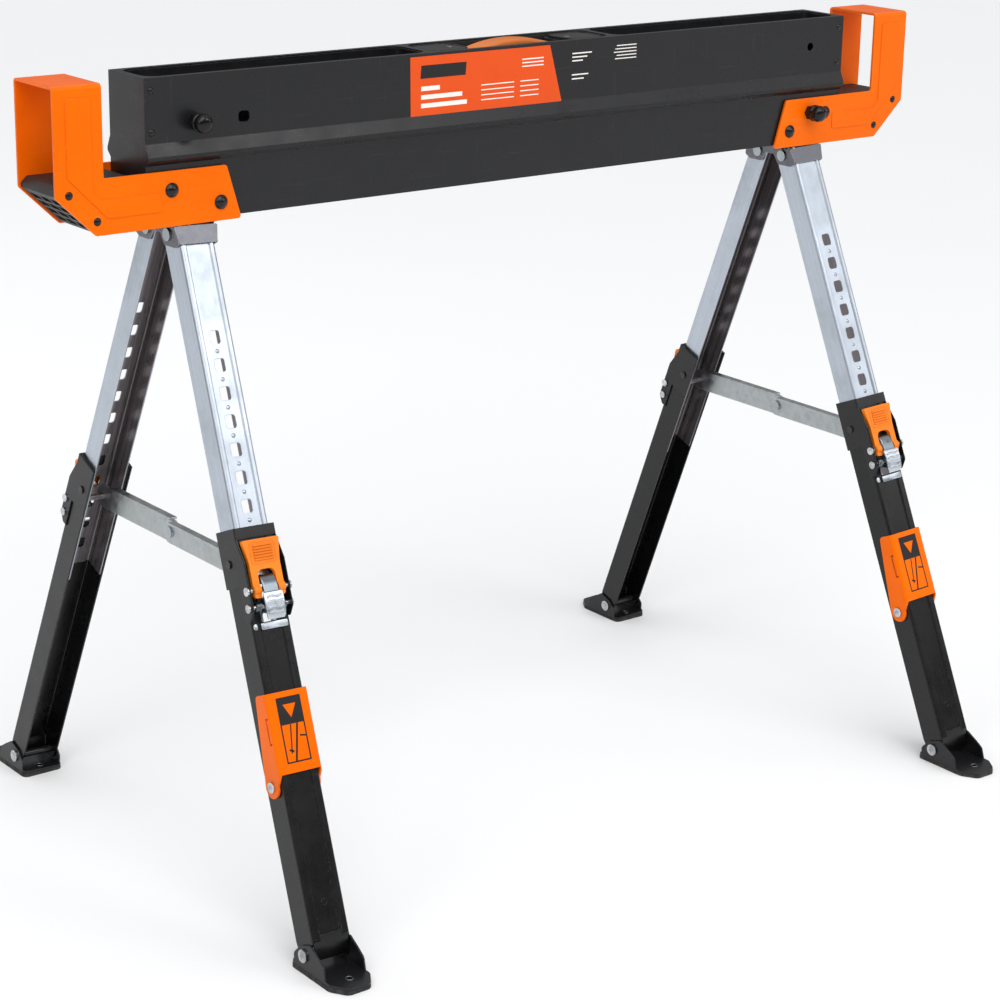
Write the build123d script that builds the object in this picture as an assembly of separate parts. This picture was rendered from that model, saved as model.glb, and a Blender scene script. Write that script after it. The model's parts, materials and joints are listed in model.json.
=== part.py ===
"""Folding steel sawhorse: a stepped sheet-steel beam on two folding pairs of telescoping legs.

Frame: +X along the beam, +Y to the back, +Z up, origin on the floor under the middle of the beam.
Everything is in millimetres and stands open with the legs fully extended.
"""

import os
from math import cos, radians, sin

from build123d import *

# ---- beam ----
BEAM_HALF = 449.8
BEAM_TOP = 806.5
BEAM_BOTTOM = 669.5
BEAM_Y = 32.7
SHEET = 1.5
RIDGE_Y = 38.2
RIDGE_LOW = 724.5
RIDGE_MID = (730.0, 733.0)
RIDGE_HIGH = 745.0
RIM = 5.7
PAN_X = (122.0, 443.0)
PAN_DEPTH = 14.0
PAN_CORNER = 14.0
WELL_HALF = 115.0
WELL_FLOOR = 771.5
GRIP_HALF = 62.0
GRIP_PEAK = 809.0
GRIP_END_TOP = 797.5
GRIP_THICK = 9.0
GRIP_Y = 12.0
CAP_RIVET_X = 442.5
CAP_RIVET_Z = (755.5, 794.5)
SPARE_SLOT = (-342.0, 762.5)
SPARE_HOLE = (400.0, 775.5)

# ---- end brackets and shoes ----
PLATE = 2.5
BRACKET_Y = 36.4
RISER_X = (496.3, 546.5)
ARM_TOP = 718.9
ARM_LOW = 666.2
ARM_END_TOP = 364.2
ARM_END_LOW = 348.4
CHAMFER_Z = 705.0
CHAMFER_X = 505.4
PANEL_RAISE = 0.8
SHOE_TOP = 715.0
SHOE_X = 456.0
SHOE_RIVETS = ((532.5, 706.5), (504.0, 679.5))
DOMES = ((424.5, 700.9), (371.1, 684.0))
DOME_R = 7.0
BOLT_R = 4.0

# ---- leg sets ----
HINGE_X = 399.0
HINGE_Y = 19.6
HINGE_Z = 654.5
TILT = 2.29
SPLAY = 22.8
PIN_R = 4.0
FIT = 0.05
FOLD_PIN = (349.0, 689.5)
EAR_Y = (21.5, 24.0)
SADDLE_Y = (29.2, 31.1)
SADDLE_X = (330.0, 440.0)
SADDLE_Z = (675.5, 713.5)
PLUNGER_AT = {-1: (395.5, 762.2), 1: (401.0, 703.0)}
PLUNGER_FACE = {-1: BEAM_Y, 1: BRACKET_Y}
PLUNGER_R = 2.95
COLLAR_R = 5.9

# ---- legs, in a leg's own frame: hinge pin along x at the origin, web towards +y, foot towards -z ----
UPPER_W = 38.0
UPPER_Y = (-11.6, 15.4)
UPPER_T = 1.8
UPPER_END = -430.0
STEP = 1.8
STEP_HALF = 12.0
NOTCH_FIRST = -104.0
NOTCH_PITCH = 27.1
NOTCH_COUNT = 12
STUD = (-7.5, -325.0)
STUD_R = 3.0
LOWER_W = 42.0
LOWER_Y = (-12.6, 17.4)
LOWER_T = 1.6
LOWER_STEP_HALF = 10.95
LOWER_TOP = -286.0
FOOT_PIN = -691.0
LOWER_END_R = 10.0
LOWER_TAPER = 14.0
HOUSING_X = (21.2, 22.7)
EAR_OUT = 26.5
LEVER_PIN = (22.8, -346.6)
PAWL_PIN = (20.2, -362.5)
LATCH_PIN_R = 2.5
HOUSING_SCREW = (-1.0, -318.0)
FLIP_PIN = (1.7, -531.0)
FLIP_X = (21.6, 23.8)
FLIP_TOP = -444.0
FLIP_LOW = -521.0
FLIP_PIN_R = 3.0
FLIP_LOBE = 11.0
FLIP_SLOT = (-492.0, -468.0)

# ---- feet, in a foot's own frame: pin along x at the origin, toe towards +y ----
FOOT_W = 46.4
HEEL = -22.0
TOE = 60.0
FOOT_PLATE = (-14.0, -11.6)
FOOT_EAR = (21.4, 23.2)
FOOT_HOLES = (-12.0, 42.0)
FOOT_HOLE_R = 3.2

LEGS = {"front_left": (-1, -1), "back_left": (-1, 1), "front_right": (1, -1), "back_right": (1, 1)}
SIDES = {"left": -1, "right": 1}


# ---- frames ----
def set_frame(sx):
    """Frame of one leg set: middle of its two hinge pins, leaning outwards with the legs."""
    return Location((sx * HINGE_X, 0, HINGE_Z), (0, -sx * TILT, 0))


def leg_frame(sx, sy):
    turn = 0 if sy > 0 else 180
    swing = Location((0, sy * HINGE_Y, 0), (sy * SPLAY, 0, 0))
    return set_frame(sx) * swing * Location((0, 0, 0), (0, 0, turn))


def foot_frame(sx, sy):
    turn = 0 if sy > 0 else 180
    reach = HINGE_Y - FOOT_PIN * sin(radians(SPLAY))
    drop = FOOT_PIN * cos(radians(SPLAY))
    return set_frame(sx) * Location((0, sy * reach, drop), (0, 0, turn))


def in_set(x, z):
    """A point of the right-hand side's x-z plane, given in that leg set's own frame."""
    dx, dz = x - HINGE_X, z - HINGE_Z
    c, s = cos(radians(TILT)), sin(radians(TILT))
    return dx * c + dz * s, dz * c - dx * s


# ---- shape helpers ----
def outline(points, corners=None):
    """A closed polygon; corners maps a point's number to the radius that rounds it."""
    face = make_face(Polyline(*points, close=True))
    by_radius = {}
    for number, radius in (corners or {}).items():
        by_radius.setdefault(radius, []).append(Vector(*points[number], 0))
    for radius, spots in by_radius.items():
        chosen = [v for v in face.vertices() if min((v.center() - s).length for s in spots) < 1e-6]
        face = fillet(chosen, radius)
    return face


def across_x(face, x0, x1):
    """A y-z outline pushed from x0 to x1."""
    return extrude(Plane.YZ.offset(x0) * face, amount=x1 - x0, dir=(1, 0, 0))


def across_y(face, y0, y1):
    """An x-z outline pushed from y0 to y1."""
    plane = Plane(origin=(0, y0, 0), x_dir=(1, 0, 0), z_dir=(0, -1, 0))
    return extrude(plane * face, amount=y1 - y0, dir=(0, 1, 0))


def across_z(face, z0, z1):
    return extrude(Plane.XY.offset(z0) * face, amount=z1 - z0, dir=(0, 0, 1))


def box(x, y, z):
    """A block between pairs of limits."""
    middle = Location(((x[0] + x[1]) / 2, (y[0] + y[1]) / 2, (z[0] + z[1]) / 2))
    return middle * Box(abs(x[1] - x[0]), abs(y[1] - y[0]), abs(z[1] - z[0]))


def rod_x(radius, x0, x1, y=0.0, z=0.0):
    return Location(((x0 + x1) / 2, y, z), (0, 90, 0)) * Cylinder(radius, abs(x1 - x0))


def rod_y(radius, y0, y1, x=0.0, z=0.0):
    return Location((x, (y0 + y1) / 2, z), (90, 0, 0)) * Cylinder(radius, abs(y1 - y0))


def rod_z(radius, z0, z1, x=0.0, y=0.0):
    return Location((x, y, (z0 + z1) / 2)) * Cylinder(radius, abs(z1 - z0))


def dome(radius, height, base, sx_or_y, x, z):
    """A shallow dome standing on the plane y = base, bulging towards the side given by sx_or_y."""
    ball = (radius**2 + height**2) / (2 * height)
    centre = base + sx_or_y * (height - ball)
    sphere = Location((x, centre, z)) * Sphere(ball)
    slab = box((x - ball, x + ball), sorted((base, base + sx_or_y * height)), (z - ball, z + ball))
    return sphere & slab


def mirrored_x(points, sx):
    return [(sx * x, z) for x, z in points]


# ---- beam ----
def beam_profile(inset):
    """Outer or inner outline of the beam's section, open side down."""
    side = BEAM_Y - inset
    ridge = RIDGE_Y - inset
    half = [
        (side, BEAM_BOTTOM - 10 * (inset > 0)),
        (side, RIDGE_LOW),
        (ridge, RIDGE_MID[0]),
        (ridge, RIDGE_MID[1]),
        (side, RIDGE_HIGH),
        (side, BEAM_TOP - inset),
    ]
    return make_face(Polyline(*(half + [(-y, z) for y, z in reversed(half)]), close=True))


def rounded_window(x0, x1, half_y, z0, z1, radius):
    shape = Location(((x0 + x1) / 2, 0)) * RectangleRounded(x1 - x0, 2 * half_y, radius)
    return across_z(shape, z0, z1)


def pan_limits(sx):
    return sorted((sx * PAN_X[0], sx * PAN_X[1]))


def beam_shell():
    end = BEAM_HALF - SHEET
    shell = across_x(beam_profile(0), -end, end) - across_x(beam_profile(SHEET), -end - 1, end + 1)
    opening = BEAM_Y - RIM
    for sx in (-1, 1):
        x0, x1 = pan_limits(sx)
        shell -= rounded_window(x0, x1, opening, BEAM_TOP - 3, BEAM_TOP + 3, PAN_CORNER)
        for z in CAP_RIVET_Z:
            shell -= rod_y(2 + FIT, -40, 40, sx * CAP_RIVET_X, z)
        for x, z in DOMES:
            shell -= rod_y(BOLT_R + FIT, -40, 40, sx * x, z)
    shell -= rounded_window(-WELL_HALF, WELL_HALF, opening, BEAM_TOP - 3, BEAM_TOP + 3, PAN_CORNER)
    for sx in (-1, 1):
        x, z = PLUNGER_AT[sx]
        shell -= rod_y(COLLAR_R + FIT, -40, 0, sx * x, z)
    spare = across_y(Location(SPARE_SLOT) * RectangleRounded(12.5, 11, 4), -40, 0)
    return shell - spare - rod_y(4.5, -40, 0, *SPARE_HOLE)


def pan(sx):
    """A pressed tray hung under the top sheet."""
    x0, x1 = pan_limits(sx)
    under, floor = BEAM_TOP - SHEET, BEAM_TOP - PAN_DEPTH
    half_y = BEAM_Y - RIM
    lip = rounded_window(x0 - 2.5, x1 + 2.5, half_y + 2.5, under - 1.2, under, PAN_CORNER)
    body = rounded_window(x0 - 0.2, x1 + 0.2, half_y + 0.2, floor - 1.2, under, PAN_CORNER)
    hollow = rounded_window(x0 + 1, x1 - 1, half_y - 1, floor, under + 1, PAN_CORNER - 1)
    return lip + body - hollow


def end_cap(sx):
    """End plate with two riveted side flanges inside the beam walls."""
    x0, x1 = sorted((sx * (BEAM_HALF - SHEET), sx * BEAM_HALF))
    cap = across_x(beam_profile(0), x0, x1)
    fx = sorted((sx * (BEAM_HALF - SHEET), sx * (CAP_RIVET_X - 8)))
    for sy in (-1, 1):
        inner = BEAM_Y - SHEET - 0.1
        cap += box(fx, sorted((sy * inner, sy * (inner - 1.2))), (RIDGE_HIGH + 3, BEAM_TOP - 16))
    for z in CAP_RIVET_Z:
        cap -= rod_y(2 + FIT, -40, 40, sx * CAP_RIVET_X, z)
    return cap


def end_caps():
    return Compound(children=[end_cap(-1), end_cap(1)])


def handle_tray():
    """Moulded well with a raised anchor block at each end of the grip."""
    half_y = BEAM_Y - RIM
    under = BEAM_TOP - SHEET
    lip = rounded_window(-WELL_HALF - 2.5, WELL_HALF + 2.5, half_y + 2.5, under - 1.6, under, PAN_CORNER)
    body = rounded_window(-WELL_HALF, WELL_HALF, half_y, WELL_FLOOR - 2, under, PAN_CORNER)
    hollow = rounded_window(-WELL_HALF + 2, WELL_HALF - 2, half_y - 2, WELL_FLOOR, under + 1, 12)
    tray = lip + body - hollow
    for sx in (-1, 1):
        x0, x1 = sorted((sx * GRIP_HALF, sx * (WELL_HALF - 3)))
        block = rounded_window(x0, x1, half_y - 1, WELL_FLOOR - 1, BEAM_TOP - 4, 8)
        rim = rounded_window(x0 + 3, x1 - 3, half_y - 5, BEAM_TOP - 5.5, BEAM_TOP, 6)
        tray += block - rim
    return tray


def handle_grip():
    """Bowed bar between the two anchor blocks."""
    low = GRIP_END_TOP - GRIP_THICK
    top = ThreePointArc((-GRIP_HALF, GRIP_END_TOP), (0, GRIP_PEAK), (GRIP_HALF, GRIP_END_TOP))
    right = Line((GRIP_HALF, GRIP_END_TOP), (GRIP_HALF, low))
    under = ThreePointArc((GRIP_HALF, low), (0, GRIP_PEAK - GRIP_THICK), (-GRIP_HALF, low))
    left = Line((-GRIP_HALF, low), (-GRIP_HALF, GRIP_END_TOP))
    bar = across_y(make_face([top, right, under, left]), -GRIP_Y, GRIP_Y)
    long_edges = [e for e in bar.edges() if e.geom_type == GeomType.CIRCLE]
    return fillet(long_edges, 3.2)


def small_rivets():
    rivets = []
    for sx in (-1, 1):
        for sy in (-1, 1):
            for z in CAP_RIVET_Z:
                head = dome(3.4, 1.5, sy * BEAM_Y, sy, sx * CAP_RIVET_X, z)
                shank = rod_y(2, *sorted((sy * BEAM_Y, sy * 29.9)), sx * CAP_RIVET_X, z)
                rivets.append(head + shank)
            for x, z in SHOE_RIVETS:
                head = dome(4.0, 1.6, sy * BRACKET_Y, sy, sx * x, z)
                shank = rod_y(2.2, *sorted((sy * BRACKET_Y, sy * 27)), sx * x, z)
                rivets.append(head + shank)
    return Compound(children=rivets)


# ---- end brackets ----
def bracket(sx):
    """L-shaped bracket folded from one plate: two side plates joined over the top of the riser."""
    side = [
        (ARM_END_LOW, ARM_LOW),
        (ARM_END_TOP, ARM_TOP),
        (RISER_X[0], ARM_TOP),
        (RISER_X[0], BEAM_TOP - 0.4),
        (RISER_X[1], BEAM_TOP - 0.4),
        (RISER_X[1], CHAMFER_Z),
        (CHAMFER_X, ARM_LOW),
    ]
    corners = {0: 3.0, 1: 3.0, 2: 2.0, 5: 3.0, 6: 3.0}
    solid = across_y(outline(mirrored_x(side, sx), corners), -BRACKET_Y, BRACKET_Y)
    over_riser = [e for e in solid.edges().filter_by(Axis.X) if e.center().Z > BEAM_TOP - 1]
    solid = fillet(over_riser, 4.0)
    inner = BRACKET_Y - PLATE
    gap_low = box((sx * 300, sx * 600), (-inner, inner), (ARM_LOW - 5, ARM_TOP + 5))
    gap_high = box((sx * 480, sx * 600), (-inner, inner), (ARM_TOP, BEAM_TOP - 0.4 - PLATE))
    solid = solid - gap_low - gap_high
    low, high, top = ARM_LOW + 15.3, ARM_TOP - 19.4, BEAM_TOP - 12
    panel = [(436, low), (436, high), (500, high), (508, high + 9)]
    panel += [(508, top), (534, top), (534, low + 41), (493, low)]
    for sy in (-1, 1):
        face = outline(mirrored_x(panel, sx), {0: 2.5, 1: 2.5, 4: 2.5, 5: 2.5})
        solid += across_y(face, *sorted((sy * (BRACKET_Y - 0.5), sy * (BRACKET_Y + PANEL_RAISE))))
    for x, z in DOMES:
        solid -= rod_y(BOLT_R + FIT, -45, 45, sx * x, z)
    for x, z in SHOE_RIVETS:
        solid -= rod_y(2.2 + FIT, -45, 45, sx * x, z)
    if PLUNGER_FACE[sx] == BRACKET_Y:
        x, z = PLUNGER_AT[sx]
        solid -= rod_y(COLLAR_R + FIT, -45, 0, sx * x, z)
    return solid


def end_shoe(sx):
    """Moulded block between a bracket's side plates, with pockets where it shows on the chamfer."""
    half = BRACKET_Y - PLATE - 0.1
    side = [
        (SHOE_X, ARM_LOW + 15.3),
        (SHOE_X, SHOE_TOP - 5),
        (SHOE_X + 5, SHOE_TOP),
        (538, SHOE_TOP),
        (544.5, SHOE_TOP - 6),
        (544.5, CHAMFER_Z + 0.5),
        (504.5, ARM_LOW + 2.1),
        (480, ARM_LOW + 2.1),
        (480, ARM_LOW + 15.3),
    ]
    shoe = across_y(outline(mirrored_x(side, sx), {2: 1.5, 3: 3.0, 4: 2.0}), -half, half)
    slope = Vector(CHAMFER_X - RISER_X[1], 0, ARM_LOW - CHAMFER_Z).normalized()
    for row in range(4):
        at = Vector(541, 0, CHAMFER_Z - 2.2) + slope * (7 + 11.5 * row)
        for y in (-19.5, 0, 19.5):
            shoe -= Location((sx * at.X, y, at.Z), (0, sx * 45, 0)) * Box(3, 16, 8)
    hollow = box((sx * 488, sx * 530), (-half + 8, half - 8), (ARM_LOW + 25.5, SHOE_TOP - 4))
    for x, z in SHOE_RIVETS:
        shoe -= rod_y(2.2 + FIT, -40, 40, sx * x, z)
    return shoe - hollow


def end_shoes():
    return Compound(children=[end_shoe(-1), end_shoe(1)])


def bracket_bolt(sx, sy, x, z):
    """Bolt through bracket, beam wall and saddle, with a domed cap outside and a nut inside."""
    cap = dome(DOME_R, 4.2, sy * (BRACKET_Y + 0.6), sy, sx * x, z)
    seat = rod_y(DOME_R, *sorted((sy * BRACKET_Y, sy * (BRACKET_Y + 0.7))), sx * x, z)
    shank = rod_y(BOLT_R, *sorted((sy * 25.2, sy * (BRACKET_Y + 0.5))), sx * x, z)
    nut_face = Location((sx * x, z)) * RegularPolygon(6.6, 6)
    nut = across_y(nut_face, *sorted((sy * SADDLE_Y[0], sy * 25.2)))
    return cap + seat + shank + nut


def bracket_bolts():
    bolts = [bracket_bolt(sx, sy, x, z) for sx in (-1, 1) for sy in (-1, 1) for x, z in DOMES]
    return Compound(children=bolts)


# ---- fold pivots and locks ----
def pivot_saddle(sx):
    """Plate bent round the inside of the beam, which carries one fold pin."""
    x0, x1 = SADDLE_X
    outer = box((sx * x0, sx * x1), (-SADDLE_Y[1], SADDLE_Y[1]), SADDLE_Z)
    inner = box((sx * (x0 + 2), sx * (x1 + 9)), (-SADDLE_Y[0], SADDLE_Y[0]), (600, 800))
    low = SADDLE_Z[0]
    ear_room = box((sx * (x0 - 1), sx * (x0 + 3)), (-SADDLE_Y[0], SADDLE_Y[0]), (low - 1, low + 8.5))
    saddle = outer - inner - ear_room - rod_y(PIN_R + FIT, -40, 40, sx * FOLD_PIN[0], FOLD_PIN[1])
    for x, z in DOMES:
        saddle -= rod_y(BOLT_R + FIT, -40, 40, sx * x, z)
    px, pz = PLUNGER_AT[sx]
    if pz < SADDLE_Z[1]:
        saddle -= rod_y(COLLAR_R + FIT, -40, 0, sx * px, pz)
    return saddle


def pivot_saddles():
    return Compound(children=[pivot_saddle(-1), pivot_saddle(1)])


def fold_pins():
    x, z = FOLD_PIN
    return Compound(children=[rod_y(PIN_R, -31.0, 31.0, sx * x, z) for sx in (-1, 1)])


def plunger_collar(sx):
    """Threaded bush for one plunger, with a hexagon outside."""
    x, z = PLUNGER_AT[sx]
    face = PLUNGER_FACE[sx]
    neck = rod_y(COLLAR_R, -face, -28.3, sx * x, z)
    hexagon = across_y(Location((sx * x, z)) * RegularPolygon(8.2, 6), -face - 5, -face)
    return neck + hexagon - rod_y(PLUNGER_R + FIT, -60, -20, sx * x, z)


def plunger_collars():
    return Compound(children=[plunger_collar(-1), plunger_collar(1)])


def plunger(sx):
    """Pull knob and its pin, which stops just short of the lock plate."""
    x, z = PLUNGER_AT[sx]
    face = PLUNGER_FACE[sx]
    knob = rod_y(9.5, -face - 21, -face - 6, sx * x, z)
    knob = fillet([e for e in knob.edges() if e.center().Y < -face - 20], 3.0)
    for n in range(12):
        groove = Location((sx * x, 0, z), (0, 30 * n, 0)) * rod_y(1.1, -face - 23, -face - 9, 9.8, 0)
        knob -= groove
    return knob + rod_y(PLUNGER_R, -face - 8, -EAR_Y[1] - 0.4, sx * x, z)


# ---- hubs ----
def hub_ear(sx, sy, lock):
    """Ear from the hub to the fold pin; the front one also carries the lock hole."""
    px, pz = in_set(*FOLD_PIN)
    y0, y1 = sorted((sy * EAR_Y[0], sy * EAR_Y[1]))
    arm = [(px - 9, pz), (px, pz + 9.5), (-19.0, 17.9), (-19.0, 7.2), (-25.0, 7.2), (px - 4, pz - 9)]
    ear = across_y(outline(mirrored_x(arm, sx)), y0, y1) + rod_y(10, y0, y1, sx * px, pz)
    if lock:
        lx, lz = in_set(*PLUNGER_AT[sx])
        away = (Vector(lx - px, lz - pz)).normalized()
        side = Vector(-away.Y, away.X) * 9
        a, b = Vector(px, pz), Vector(lx, lz)
        strip = [tuple(v)[:2] for v in (a + side, b + side, b - side, a - side)]
        ear += across_y(outline(mirrored_x(strip, sx)), y0, y1) + rod_y(9, y0, y1, sx * lx, lz)
        ear -= rod_y(PLUNGER_R + 0.4, -40, 40, sx * lx, lz)
    return ear - rod_y(PIN_R + FIT, -40, 40, sx * px, pz)


def hub_apron(sy):
    """Flared stop plate that the leg's web rests against when open."""
    face = outline([(-24, 3.5), (24, 3.5), (20.5, -14), (-20.5, -14)], {0: 1.5, 1: 1.5, 2: 2, 3: 2})
    plate = across_y(face, UPPER_Y[1] + 0.5, UPPER_Y[1] + 2.5)
    turn = 0 if sy > 0 else 180
    return Location((0, sy * HINGE_Y, 0), (sy * SPLAY, 0, 0)) * Location((0, 0, 0), (0, 0, turn)) * plate


def hub(sx):
    """Folded bracket under the beam that carries both hinge pins of a leg set."""
    half = [(29, 18), (29, 12), (34.2, 9.5), (40.8, -6.5), (33, -11), (14, -11), (6, 0)]
    corners = {3: 2.0, 4: 3.0, 5: 4.0, 8: 4.0, 9: 3.0, 10: 2.0}
    cheek = outline(half + [(-y, z) for y, z in reversed(half)], corners)
    body = across_x(cheek, 19.5, 21.5) + across_x(cheek, -21.5, -19.5)
    body += box((-21.5, 21.5), (-29, 29), (16, 18))
    for sy in (-1, 1):
        body += hub_apron(sy) + hub_ear(sx, sy, sy < 0)
        body -= rod_x(PIN_R + FIT, -30, 30, sy * HINGE_Y, 0)
    return set_frame(sx) * body


def hinge_pins(sx):
    """Two riveted pins, one through each leg of the set."""
    pins = []
    for sy in (-1, 1):
        pin = rod_x(PIN_R, -23, 23, sy * HINGE_Y, 0)
        for end in (-1, 1):
            pin += rod_x(6.2, *sorted((end * 21.6, end * 23.4)), sy * HINGE_Y, 0)
        pins.append(set_frame(sx) * pin)
    return Compound(children=pins)


# ---- legs ----
def channel(width, y_limits, sheet, step_half, z0, z1):
    """Rolled channel with a stepped-in strip down the middle of its web, open towards -y."""
    lip, web = y_limits
    half, slope = width / 2, 1.5
    creep = 0.466 * sheet
    out = [(half, lip), (half, web), (step_half + slope, web), (step_half, web - STEP)]
    inn = [
        (half - sheet, lip),
        (half - sheet, web - sheet),
        (step_half + slope + creep, web - sheet),
        (step_half + creep, web - STEP - sheet),
    ]
    outer = out + [(-x, y) for x, y in reversed(out)]
    inner = inn + [(-x, y) for x, y in reversed(inn)]
    last = len(outer) - 2
    solid = across_z(outline(outer, {1: 3.0, last: 3.0}), z0, z1)
    return solid - across_z(outline(inner, {1: 3.0 - sheet, last: 3.0 - sheet}), z0 - 1, z1 + 1)


def upper_leg():
    """Plated upper channel with its row of notches, a rounded top and the brace stud."""
    top = UPPER_Y[1]
    leg = channel(UPPER_W, UPPER_Y, UPPER_T, STEP_HALF, UPPER_END, top)
    inside = UPPER_W / 2 - UPPER_T
    leg -= box((-inside, inside), (UPPER_Y[1] - 5, UPPER_Y[1] + 1), (-4, top + 1))
    keep = rod_x(top, -20, 20) + box((-20, 20), (-20, 20), (UPPER_END - 1, 0))
    leg = leg & keep
    for n in range(NOTCH_COUNT):
        z = NOTCH_FIRST - NOTCH_PITCH * n
        leg -= across_y(Location((0, z)) * RectangleRounded(11.5, 13, 2.5), 0, 20)
    leg -= rod_x(PIN_R + FIT, -30, 30)
    return leg + rod_x(STUD_R, -inside - 0.5, inside + 0.5, *STUD)


def lower_leg(flips):
    """Painted lower channel with the latch window, rounded round the foot pin."""
    end = FOOT_PIN - LOWER_END_R
    leg = channel(LOWER_W, LOWER_Y, LOWER_T, LOWER_STEP_HALF, end, LOWER_TOP)
    wide, top = FOOT_PIN + LOWER_TAPER, LOWER_TOP + 1
    side = [(-LOWER_END_R, FOOT_PIN), (LOWER_END_R, FOOT_PIN), (18, wide), (18, top), (-13, top), (-13, wide)]
    leg = leg & (rod_x(LOWER_END_R, -22, 22, 0, FOOT_PIN) + across_x(outline(side), -22, 22))
    leg -= across_y(Location((0, -340)) * RectangleRounded(18.5, 74, 2), 0, 20)
    leg -= rod_x(PIN_R + FIT, -30, 30, 0, FOOT_PIN)
    if flips:
        for end in (-1, 1):
            leg -= rod_x(FLIP_PIN_R + FIT, *sorted((end * 18, end * 30)), *FLIP_PIN)
    return leg


def latch_housing():
    """Saddle round the top of the lower channel, with two ears for the lever and the pawl."""
    x0, x1 = HOUSING_X
    side = [
        (-14, LOWER_TOP),
        (19.1, LOWER_TOP),
        (19.1, -297),
        (EAR_OUT, -320),
        (EAR_OUT, -366),
        (18.5, -375),
        (12, -375),
        (12, -341),
        (-14, -341),
    ]
    face = outline(side, {3: 3.0, 4: 4.0, 5: 2.0})
    housing = across_x(face, x0, x1) + across_x(face, -x1, -x0)
    housing += box((-x1, x1), (LOWER_Y[1] + 0.2, 19.1), (-297, LOWER_TOP))
    upright = housing.edges().filter_by(Axis.Z)
    housing = fillet([e for e in upright if abs(e.center().X) > x1 - 0.1 and e.center().Y > 19], 1.4)
    for y, z in (LEVER_PIN, PAWL_PIN):
        housing -= rod_x(LATCH_PIN_R + FIT, -30, 30, y, z)
    return housing


def leg_pins(flips):
    """The pins, rivets and screws that stay with one lower leg."""
    pins = []
    for y, z in (LEVER_PIN, PAWL_PIN):
        pin = rod_x(LATCH_PIN_R, -23.6, 23.6, y, z)
        for end in (-1, 1):
            pin += rod_x(4.2, *sorted((end * 22.8, end * 24.4)), y, z)
        pins.append(pin)
    foot = rod_x(PIN_R, -24.2, 24.2, 0, FOOT_PIN)
    for end in (-1, 1):
        foot += rod_x(6.5, *sorted((end * 23.4, end * 25.4)), 0, FOOT_PIN)
        pins.append(rod_x(4.0, *sorted((end * 22.75, end * 24.2)), *HOUSING_SCREW))
    pins.append(foot)
    if flips:
        for end in (-1, 1):
            rivet = rod_x(FLIP_PIN_R, *sorted((end * 19.0, end * 25.0)), *FLIP_PIN)
            rivet += rod_x(5.4, *sorted((end * 23.95, end * 25.6)), *FLIP_PIN)
            pins.append(rivet)
    return pins


def release_lever():
    """Finger lever: a wide ribbed pad above a fork that straddles the pawl."""
    y, z = LEVER_PIN
    pad = [(-20.4, -299), (20.4, -299), (17.0, -321.5), (17.0, -354.5), (-17.0, -354.5), (-17.0, -321.5)]
    lever = across_y(outline(pad, {0: 2.0, 1: 2.0, 3: 3.0, 4: 3.0}), 21.0, 25.6)
    fork = outline([(-9.6, -360), (9.6, -360), (9.6, -328), (-9.6, -328)], {2: 6.0, 3: 6.0})
    lever -= across_y(fork, 15, 35)
    for end in (-1, 1):
        lever += rod_x(5.0, *sorted((end * 9.6, end * 17)), y + 0.2, z)
    for n in range(6):
        lever += box((-10.5, 10.5), (25, 26.4), (-305.5 - 2.7 * n, -304.2 - 2.7 * n))
    return lever - rod_x(LATCH_PIN_R + FIT, -30, 30, y, z)


def pawl():
    """Bent thumb pawl with a tooth that reaches into the leg's window."""
    y, z = PAWL_PIN
    side = [(21.5, -333), (25.5, -331.5), (30, -342), (31, -348), (30, -375.5), (27, -376.5),
            (26.5, -367), (24, -366), (16.2, -367), (14.6, -363), (14.6, -358), (26.8, -352), (26.6, -345)]
    body = across_x(outline(side, {2: 4.0, 3: 3.0, 4: 1.2}), -8.8, 8.8)
    for n in range(5):
        body += box((-7.2, 7.2), (30, 31.2), (-351.4 - 5.0 * n, -349.6 - 5.0 * n))
    body += rod_x(5.2, -8.8, 8.8, y, z)
    return body - rod_x(LATCH_PIN_R + FIT, -30, 30, y, z)


def flip_bracket():
    """Drop-down board rest that straddles the lower channel of a front leg."""
    y, z = FLIP_PIN
    x0, x1 = FLIP_X
    side = [(2.5, FLIP_TOP), (20.4, FLIP_TOP), (20.4, FLIP_LOW), (y + FLIP_LOBE, z), (y - FLIP_LOBE, z)]
    rest = across_x(outline(side, {0: 5.0}), -x1, x1) + rod_x(FLIP_LOBE, -x1, x1, y, z)
    edges = [e for e in rest.edges().filter_by(Axis.Z) if e.center().Y > 20]
    rest = fillet(edges, 3.5) - box((-x0, x0), (-30, 18.2), (FLIP_LOW - 40, FLIP_TOP + 1))
    rest -= box((-x0, x0), (18, 21), (FLIP_LOW - 40, FLIP_LOW))
    low, high = FLIP_SLOT
    for level in FLIP_SLOT:
        rest -= box((x0 - 1, x1 + 1), (14.0, 16.6), (level, level + 1.5))
    rest -= box((x0 - 1, x1 + 1), (12.6, 14.6), (low, high + 1.5))
    return rest - rod_x(FLIP_PIN_R + FIT, -30, 30, y, z)


# ---- feet ----
def foot_outline(grow):
    """Plan of the foot, with a blunt toe and a rounded heel."""
    half, heel, toe = FOOT_W / 2 + grow, HEEL - grow, TOE + grow
    blunt, side = half - 11, toe - 17
    points = [(-half, heel), (half, heel), (half, side), (blunt, toe), (-blunt, toe), (-half, side)]
    return outline(points, {0: 6.0, 1: 6.0, 2: 10.0, 3: 8.0, 4: 8.0, 5: 10.0})


def foot_holes(sx, sy):
    """Upright screw holes through one foot."""
    pin = foot_frame(sx, sy).position
    return [rod_z(FOOT_HOLE_R, -5, 40, pin.X, pin.Y + sy * y) for y in FOOT_HOLES]


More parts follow.
